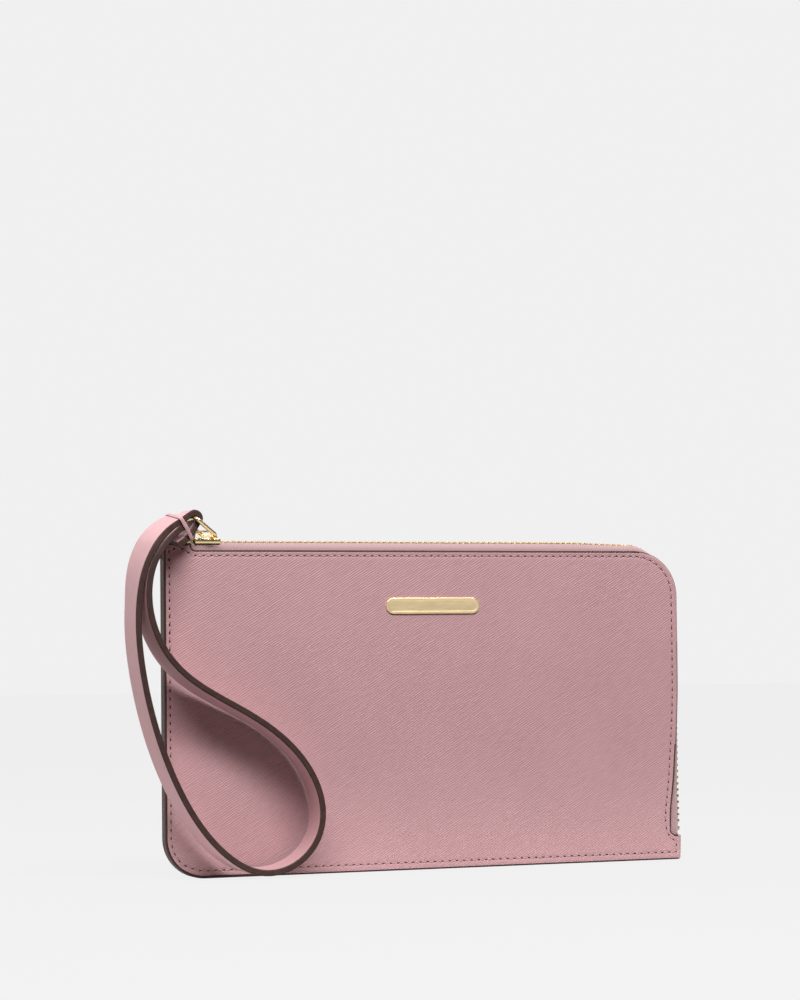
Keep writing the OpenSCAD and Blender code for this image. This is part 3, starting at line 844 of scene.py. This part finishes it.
def pill(margin):
    """A pill's outline about the plate's middle: a half circle at each end."""
    r, reach = PLATE_HALF.z - margin, PLATE_HALF.x - PLATE_HALF.z
    half = [cos_sin(-90 + 180 * k / PILL_STEPS) for k in range(PILL_STEPS + 1)]
    return [(reach + r * c, r * s) for c, s in half] + [(-reach - r * c, -r * s) for c, s in half]


def build_plate():
    """The raised plate, plain and without lettering."""
    pts = [(PLATE_MID.x + x, PLATE_Y + dy, PLATE_MID.z + z)
           for margin, dy in PLATE_ROWS for x, z in pill(margin)]
    faces = tube(len(PLATE_ROWS), 2 * (PILL_STEPS + 1))
    return face_out(make("plain_nameplate", pts, faces, [M_SATIN], angle=30))


half_pieces["front"].append(dress(build_plate(), "nameplate"))

# ---------------------------------------------------------------- slider and pull ring
def build_slider():
    """Plates over and under the chain, two wings, a post between the plates and a bridge."""
    x0, x1 = SLIDER_LOW.x - 0.7, SLIDER_HIGH.x + 0.5
    half, wing_in, wing_low = 4.0, 3.2, CHAIN_TOP - 1.2
    top, low = CHAIN_TOP + 0.2, PANEL_TOP + 0.2
    parts = [
        rounded_box("top_plate", (x0, -half, top), (x1, half, top + 0.75), 0.33, M_GOLD, 0.86),
        rounded_box("front_wing", (x0 + 0.2, -half, wing_low), (x1 - 0.1, -wing_in, top + 0.5), 0.3, M_GOLD),
        rounded_box("back_wing", (x0 + 0.2, wing_in, wing_low), (x1 - 0.1, half, top + 0.5), 0.3, M_GOLD),
        rounded_box("bottom_plate", (x0, -1.5, low), (x1, 1.5, low + 1), 0.3, M_GOLD),
        rounded_box("post", (x0, -0.25, low + 0.2), (x0 + 1.4, 0.25, top + 0.3), 0.12, M_GOLD),
    ]
    bridge = [(x0 + 0.7, top + 0.3), (x0 + 0.85, top + 1.9), (x0 + 1.25, top + 2.75), (x0 + 2.1, top + 3.15),
              (x0 + 4.6, top + 3.25), (x1 - 2.2, top + 3.2), (x1 - 1.25, top + 2.8), (x1 - 0.85, top + 1.9),
              (x1 - 0.7, top + 0.3)]
    band = [(-1.3, -0.2), (-1.18, -0.32), (1.18, -0.32), (1.3, -0.2),
            (1.3, 0.12), (1.12, 0.32), (-1.12, 0.32), (-1.3, 0.12)]
    stations = []
    for i, (x, z) in enumerate(bridge):
        ax, az = bridge[max(i - 1, 0)]
        bx, bz = bridge[min(i + 1, len(bridge) - 1)]
        d = Vector((bx - ax, 0, bz - az)).normalized()
        stations.append((Vector((x, 0, z)), Vector((0, 1, 0)), Vector((-d.z, 0, d.x))))
    parts.append(sweep("bridge", stations, band, M_GOLD))
    return joined("zip_slider", parts)


slider = dress(build_slider(), "slider_body")
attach(slider, "slider")

# middles of the ring's long sides: in the bridge and in the strap
PIVOT, BAR = Vector((-86.4, 0, 125.7)), Vector((-94, 0, 132))
RING_W, RING_CORNER_R, WIRE_R = 14.8, 1.5, 0.82
CORNER_STEPS, WIRE_STEPS = 8, 16


def build_ring():
    """A rectangle of round wire with rounded corners, from the bridge's pivot to the strap's bar."""
    along, across = (BAR - PIVOT).normalized(), Vector((0, 1, 0))
    up = along.cross(across).normalized()
    reach_x, reach_y = (BAR - PIVOT).length / 2 - RING_CORNER_R, RING_W / 2 - RING_CORNER_R
    stations = []
    for ex, ey, start in ((1, 1, 0), (-1, 1, 90), (-1, -1, 180), (1, -1, 270)):
        for k in range(CORNER_STEPS + 1):
            c, s = cos_sin(start + 90 * k / CORNER_STEPS)
            place = along * (ex * reach_x + RING_CORNER_R * c) + across * (ey * reach_y + RING_CORNER_R * s)
            stations.append(((BAR + PIVOT) / 2 + place, along * c + across * s, up))
    turns = [cos_sin(360 * k / WIRE_STEPS) for k in range(WIRE_STEPS)]
    section = [(WIRE_R * c, WIRE_R * s) for c, s in turns]
    return sweep("zip_pull_ring", stations, section, M_GOLD, True)


pull = dress(build_ring(), "pull_ring")
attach(pull, "ring")

# ---------------------------------------------------------------- wrist strap
# the strap's near edge: (x, z, y, how far the far edge leans in x, and in z)
LOOP = [
    (-97.7, 129.1, -7.9, 0, 0), (-100.4, 127.9, -10.2, 0, 0), (-103.4, 126.2, -13.9, -0.3, 0),
    (-106.8, 123.9, -16.9, -0.6, 0), (-109.8, 121, -19.2, -0.9, 0), (-112.2, 117.6, -19.8, -1, 0),
    (-113.9, 114, -19.8, -1, 0), (-115.3, 108.6, -19.8, -1, 0), (-115.8, 101.5, -19.8, -1, 0),
    (-114.4, 93, -19.8, -1, 0), (-110.3, 82.8, -19.8, -0.8, -0.4), (-103, 74.8, -19.8, -0.4, -1),
    (-94, 68.7, -19.8, 0, -1.2), (-82.2, 62.8, -19.8, 0, -1), (-72.6, 57.5, -19.8, 0, -0.7),
    (-63.2, 50.5, -19.8, 0, -0.3), (-55.7, 42.3, -19.8, 0, 0), (-51.1, 33.8, -19.8, 0, 0),
    (-48.8, 24.8, -19.8, 0, 0), (-49.7, 16.2, -19.8, 0, 0), (-54.4, 8.2, -19.8, 0, 0.3),
    (-62, 3, -19.8, 0, 0.6), (-70.4, 1.3, -19.8, 0, 0.6), (-78.4, 2.6, -19.8, 0, 0.2),
    (-86.3, 8.2, -19.8, 0, -0.7), (-93.3, 14.8, -19.8, -0.2, -1.2), (-99.5, 23.4, -19.8, -0.4, -1.2),
    (-104.9, 33.2, -19.8, -0.7, -0.9), (-109.4, 43.8, -19.8, -0.9, -0.6), (-113.5, 55.2, -19.8, -0.9, -0.3),
    (-116.9, 69, -19.8, -0.8, 0), (-119.1, 82, -19.8, -0.8, 0), (-119.9, 94.8, -19.8, -0.9, 0),
    (-118.9, 105.2, -19.8, -1, 0), (-117.3, 112, -19.8, -1, 0.1), (-115.2, 117.3, -19.8, -1, 0.2),
    (-112.4, 121.6, -19.4, -1, 0.2), (-109.1, 125.1, -16.9, -0.8, 0.2), (-104.8, 128.2, -13, -0.4, 0.1),
    (-99.8, 130.8, -8.8, 0, 0),
]
# round the ring's bar, from the loop's end to the tail
TURN_R = 0.85 + STRAP_T
TURN = [(BAR.x + TURN_R * c, BAR.z + TURN_R * s, -STRAP_W / 2, 0, 0)
        for c, s in (cos_sin(a) for a in range(121, -60, -30))]
TAIL = [(-94.9, 127.4, -6.9, 0, 0), (-96.8, 125.2, -8, 0, 0), (-98.5, 123.8, -9.2, 0, 0),
        (-100.3, 122.7, -10.9, 0, 0), (-102.0, 121.8, -12.7, 0, 0)]
ROLL, LOOP_BACK = 2.4, 0.7
STRAP_STEPS, EASINGS = 7, 60


def strap_run():
    """Stations along the strap's near edge, eased so that the loop runs in one fair curve."""
    steps = STRAP_STEPS
    p = np.array(LOOP + TURN + TAIL, float)
    p[:len(LOOP), 2] += [LOOP_BACK * smooth01((-15 - y) / 4.8) for y in p[:len(LOOP), 2]]
    out = []
    for i in range(len(p) - 1):
        a, b, c, d = p[max(i - 1, 0)], p[i], p[i + 1], p[min(i + 2, len(p) - 1)]
        for k in range(steps):
            t = k / steps
            square, cube = 2 * a - 5 * b + 4 * c - d, 3 * b - a - 3 * c + d
            out.append(b + ((c - a) * t + square * t**2 + cube * t**3) / 2)
    run = np.array(out + [p[-1]])
    first, last = 2 * steps, (len(LOOP) - 4) * steps
    for _ in range(EASINGS):
        middle = (run[first - 1:last - 1] + run[first + 1:last + 1]) / 2
        run[first:last] += 0.5 * (middle - run[first:last])
    return run


# the rounded edge's half: (distance in from the side, share of the thickness)
ROUND_EDGE = [(0.10, 0.0), (0.02, 0.3), (0.05, 0.62), (0.2, 0.9), (0.42, 1.0)]


def strap_layer(name, low, high, face_side):
    """One layer of the strap between two distances from the run; its long edges are round and painted."""
    run = strap_run()
    w, t = STRAP_W, high - low
    half = [(a, b * t) for a, b in ROUND_EDGE]
    section = half + [(0.9, t), (w / 2, t), (w - 0.9, t)] + [(w - a, b) for a, b in reversed(half)]
    paint = [1] * 4 + [0] * 4 + [1] * 5
    pts, grain = [], []
    s = 0.0
    for i, r in enumerate(run):
        a, b = run[max(i - 1, 0)], run[min(i + 1, len(run) - 1)]
        if i:
            s += math.hypot(r[0] - run[i - 1][0], r[1] - run[i - 1][1])
        d = np.array([b[0] - a[0], b[1] - a[1]])
        d /= np.hypot(*d)
        out = np.array([-d[1], d[0]])
        # strands by the ring roll towards the front; out points up only on the one that comes back to it
        close = smooth01((r[0] + 95.6) / -4.0) * smooth01((r[1] - 98) / 26)
        roll = ROLL * close * (1 if out[1] > 0 else -1)
        for u, h in section:
            lean = u / w
            lift = ((low + h) if face_side > 0 else (high - h)) + roll * lean
            pts.append((r[0] + r[3] * lean + out[0] * lift, r[2] + u, r[1] + r[4] * lean + out[1] * lift))
            grain.append((s, u, 0.0))
    kinds = paint * (len(run) - 1) + [1, 1]
    return face_out(make(name, pts, tube(len(run), len(section)), [M_STRAP, M_EDGE], kinds, grain, 60))


outer = dress(strap_layer("strap_outer_leather", 0.0, STRAP_T, 1), "strap_outer_layer")
inner = dress(strap_layer("strap_inner_leather", -STRAP_T, 0.0, -1), "strap_inner_layer")


def hull(points):
    """Convex outline of points in a plane, anticlockwise."""
    points = sorted(points)
    halves = []
    for run in (points, points[::-1]):
        half = []
        for p in run:
            while len(half) > 1 and ((half[-1][0] - half[-2][0]) * (p[1] - half[-2][1])
                                     - (half[-1][1] - half[-2][1]) * (p[0] - half[-2][0])) <= 0:
                half.pop()
            half.append(p)
        halves += half[:-1]
    return halves


KEEPER_MID, KEEPER_TILT = Vector((-98.5, 0, 128.4)), 31
KEEPER_HALF_W, KEEPER_HALF_T, KEEPER_GAP = 0.7, 0.13, 0.14


def build_keeper():
    """A narrow band drawn snugly round the strap's strands."""
    c, s = cos_sin(KEEPER_TILT)
    along, rise = Vector((c, 0, s)), Vector((-s, 0, c))
    reached = [v.co / MM - KEEPER_MID for piece in (outer, inner) for v in piece.data.vertices]
    reached = [v for v in reached if abs(v.dot(along)) < 1.6 and abs(v.dot(rise)) < 8]
    snug = hull([(v.y, v.dot(rise)) for v in reached])
    stations = []
    for k, p in enumerate(snug):
        before, after = snug[k - 1], snug[(k + 1) % len(snug)]
        turns = [math.atan2(-(b[0] - a[0]), b[1] - a[1]) for a, b in ((before, p), (p, after))]
        bend = (turns[1] - turns[0]) % (2 * math.pi)
        count = max(1, int(bend / math.radians(15)))
        for i in range(count + 1):
            a = turns[0] + bend * i / count
            out = Vector((0, math.cos(a), 0)) + rise * math.sin(a)
            stations.append((KEEPER_MID + Vector((0, p[0], 0)) + rise * p[1] + out * KEEPER_GAP, out, along))
    w, t = KEEPER_HALF_W, KEEPER_HALF_T
    section = [(-t, -w + 0.08), (-t + 0.08, -w), (t - 0.1, -w), (t, -w + 0.14), (t + 0.02, 0), (t, w - 0.14),
               (t - 0.1, w), (-t + 0.08, w), (-t, w - 0.08)]
    return sweep("strap_keeper_loop", stations, section, M_STRAP, True, 50)


keeper = dress(build_keeper(), "strap_keeper")
for piece in (outer, inner, keeper):
    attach(piece, "wrist_strap")

# ---------------------------------------------------------------- bodies
for piece in half_pieces["front"]:
    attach(piece, "wallet_front")
for piece in half_pieces["back"]:
    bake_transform(piece)
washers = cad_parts["nameplate_washers"].data.materials
washers.clear()
washers.append(M_GOLD)

# ---------------------------------------------------------------- floor, light and camera
PAPER = 0.871
FLOOR_TONE, FLOOR_GLOW, BOUNCE_NEAR, BOUNCE_FAR = 0.025, 0.835, 0.7, 0.03
FLOOR_HALF, FLOOR_GAP = 6, 0.00002
LIT_MIDDLE = Vector((0, 0, 0.06))


def by_ray(tree, ray, usual, special):
    """A shader for one kind of ray, and the usual one for all others."""
    mixed = tree.nodes.new("ShaderNodeMixShader")
    tree.links.new(tree.nodes.new("ShaderNodeLightPath").outputs[ray], mixed.inputs["Fac"])
    tree.links.new(usual.outputs[0], mixed.inputs[1])
    tree.links.new(special.outputs[0], mixed.inputs[2])
    return mixed.outputs[0]


def soft_range(tree, factor, low, high, start, end):
    """A number that eases from start to end over a factor's range."""
    made = add(tree, "ShaderNodeMapRange", From_Min=low, From_Max=high, To_Min=start, To_Max=end)
    made.interpolation_type = "SMOOTHSTEP"
    tree.links.new(factor, made.inputs["Value"])
    return made.outputs["Result"]


def place_parts(tree, output):
    """X, Y and Z of a texture coordinate."""
    parts = tree.nodes.new("ShaderNodeSeparateXYZ")
    tree.links.new(tree.nodes.new("ShaderNodeTexCoord").outputs[output], parts.inputs[0])
    return parts.outputs


def build_floor():
    """A pale sheet of paper: it looks even, and bounces most light close to the object."""
    mesh = bpy.data.meshes.new("floor")
    mesh.from_pydata([(x * FLOOR_HALF, y * FLOOR_HALF, 0) for x, y in ((-1, -1), (1, -1), (1, 1), (-1, 1))],
                     [], [(0, 1, 2, 3)])
    floor = add_object("floor", mesh)
    floor.location.z = cad_box[0].z - FLOOR_GAP
    mat, tree, seen = material("pale_floor", Roughness=0.9, Specular_IOR_Level=0.0,
                               Base_Color=(FLOOR_TONE, FLOOR_TONE, FLOOR_TONE, 1),
                               Emission_Color=(1, 1, 1, 1), Emission_Strength=FLOOR_GLOW)
    from_middle = math_node(tree, "ABSOLUTE", place_parts(tree, "Object")["Y"], 0.0)
    bounce = tree.nodes.new("ShaderNodeBsdfDiffuse")
    tree.links.new(soft_range(tree, from_middle, 0.02, 0.07, BOUNCE_NEAR, BOUNCE_FAR), bounce.inputs["Color"])
    tree.links.new(by_ray(tree, "Is Diffuse Ray", seen, bounce),
                   tree.nodes["Material Output"].inputs["Surface"])
    mesh.materials.append(mat)


def build_world():
    """A sky that is brighter overhead, and even paper where the camera sees it."""
    world = bpy.data.worlds.new("studio")
    bpy.context.scene.world = world
    world.use_nodes = True
    tree = world.node_tree
    tree.nodes.clear()
    sky = tree.nodes.new("ShaderNodeBackground")
    tree.links.new(soft_range(tree, place_parts(tree, "Generated")["Z"], 0.4, 0.95, 0.03, 0.45),
                   sky.inputs["Strength"])
    paper = add(tree, "ShaderNodeBackground", Color=(PAPER, PAPER, PAPER, 1))
    tree.links.new(by_ray(tree, "Is Camera Ray", sky, paper),
                   tree.nodes.new("ShaderNodeOutputWorld").inputs["Surface"])


def sun(name, towards, strength, angle):
    data = bpy.data.lights.new(name, "SUN")
    data.energy, data.angle = strength, math.radians(angle)
    obj = add_object(name, data)
    obj.rotation_mode = "QUATERNION"
    obj.rotation_quaternion = Vector(towards).to_track_quat("Z", "Y")


def stand(obj, place, across, up, back):
    """Puts a light or a camera in a place, facing away from back."""
    obj.matrix_world = Matrix.Translation(place) @ Matrix((across, up, back)).transposed().to_4x4()


def softbox(name, towards, distance, size, power):
    """A rectangular light facing the object's middle."""
    data = bpy.data.lights.new(name, "AREA")
    data.shape, data.size, data.size_y, data.energy = "RECTANGLE", *size, power
    towards = Vector(towards).normalized()
    across = Vector((0, 0, 1)).cross(towards).normalized()
    stand(add_object(name, data), LIT_MIDDLE + towards * distance, across, towards.cross(across), towards)


def build_camera(place, yaw, pitch, roll, lens):
    """A camera turned from +Y to the right by yaw, up by pitch and about its axis by roll."""
    data = bpy.data.cameras.new("camera")
    data.lens, data.sensor_width, data.sensor_fit = lens, 36, "AUTO"
    data.clip_start, data.clip_end = 0.05, 20
    (yc, ys), (pc, ps), (rc, rs) = cos_sin(yaw), cos_sin(pitch), cos_sin(roll)
    forward, level = Vector((ys * pc, yc * pc, ps)), Vector((yc, -ys, 0))
    plumb = level.cross(forward)
    camera = add_object("camera", data)
    stand(camera, place, level * rc + plumb * rs, plumb * rc - level * rs, -forward)
    bpy.context.scene.camera = camera


build_floor()
build_world()
softbox("key_softbox", (-0.08, -0.60, 0.80), 1.3, (1.4, 0.26), 31)
sun("left_fill", (-0.92, 0.12, 0.42), 0.9, 40)
sun("back_key", (0.0, 0.94, 0.34), 2.6, 100)
build_camera((-0.4096, -1.008, 0.0794), 21.60, 3.19, -0.69, 102.8)
bpy.context.scene.view_settings.view_transform = "Standard"
